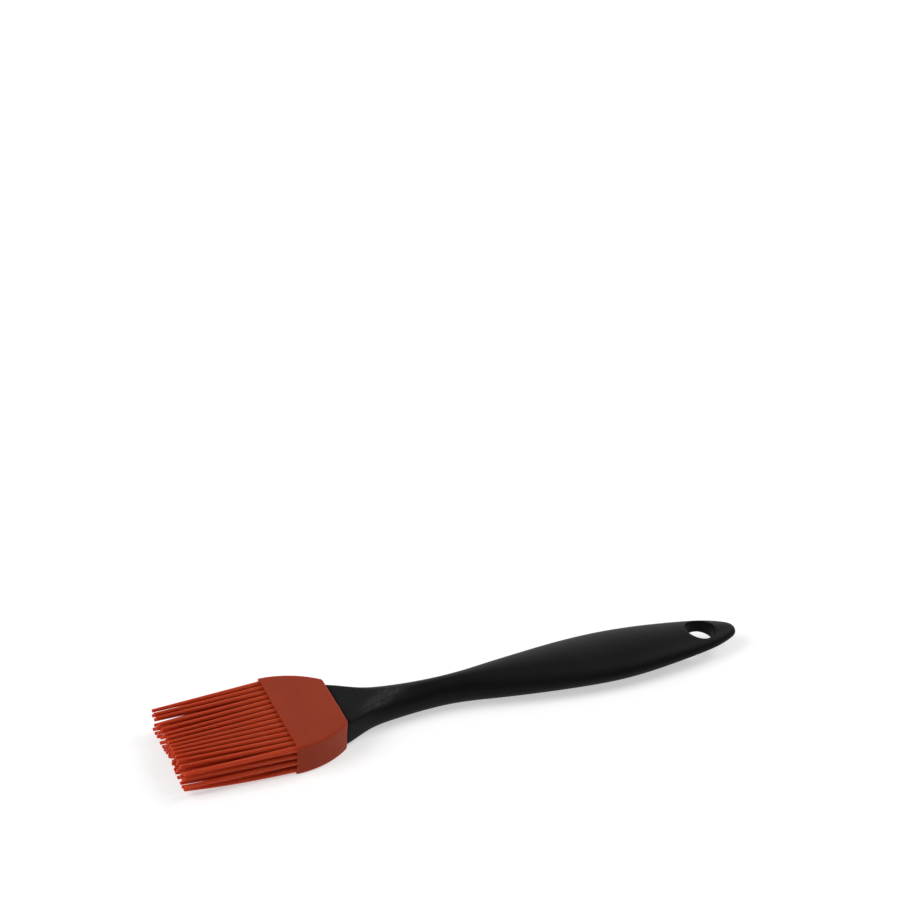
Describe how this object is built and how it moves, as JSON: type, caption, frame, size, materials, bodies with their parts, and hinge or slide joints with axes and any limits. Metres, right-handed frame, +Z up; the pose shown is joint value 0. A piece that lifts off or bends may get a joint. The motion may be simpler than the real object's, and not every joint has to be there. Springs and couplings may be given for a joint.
{
  "type": "pastry brush",
  "caption": "Flat pastry brush: silicone head with rows of round bristles, pushed onto a moulded plastic handle with a hanging hole.",
  "frame": {"origin": "midway along the brush, on the surface that it lies on", "axes": "+X from the bristle tips to the hanging end, +Z up out of the flat face, +Y across the width"},
  "size_m": [0.21, 0.04, 0.0113],
  "materials": {
    "handle_plastic": "fine matt black plastic",
    "collar_silicone": "matt orange-red silicone",
    "bristle_silicone": "satin orange-red silicone"
  },
  "bodies": {
    "handle": {"handle": "handle_plastic"},
    "head": {"collar": "collar_silicone"},
    "row_1": {"bristle_row_1": "bristle_silicone"},
    "row_2": {"bristle_row_2": "bristle_silicone"},
    "row_3": {"bristle_row_3": "bristle_silicone"},
    "row_4": {"bristle_row_4": "bristle_silicone"}
  },
  "joints": [
    {"name": "head_pull_off", "type": "slide", "parent": "handle", "child": "head", "axis": [-1, 0, 0], "range_m": [0, 0.016]},
    {"name": "row_1_bend", "type": "hinge", "parent": "head", "child": "row_1", "pos_m": [-0.0675, 0, 0.00962], "axis": [0, 1, 0], "range_deg": [-25, 25], "stiffness_Nm_per_rad": 0.004},
    {"name": "row_2_bend", "type": "hinge", "parent": "head", "child": "row_2", "pos_m": [-0.0675, 0, 0.00698], "axis": [0, 1, 0], "range_deg": [-25, 25], "stiffness_Nm_per_rad": 0.004},
    {"name": "row_3_bend", "type": "hinge", "parent": "head", "child": "row_3", "pos_m": [-0.0675, 0, 0.00432], "axis": [0, 1, 0], "range_deg": [-25, 25], "stiffness_Nm_per_rad": 0.004},
    {"name": "row_4_bend", "type": "hinge", "parent": "head", "child": "row_4", "pos_m": [-0.0675, 0, 0.00168], "axis": [0, 1, 0], "range_deg": [-25, 25], "stiffness_Nm_per_rad": 0.004}
  ],
  "couplings": [
    {"joint": "row_2_bend", "follows": "row_1_bend", "ratio": 1},
    {"joint": "row_3_bend", "follows": "row_1_bend", "ratio": 1},
    {"joint": "row_4_bend", "follows": "row_1_bend", "ratio": 1}
  ]
}
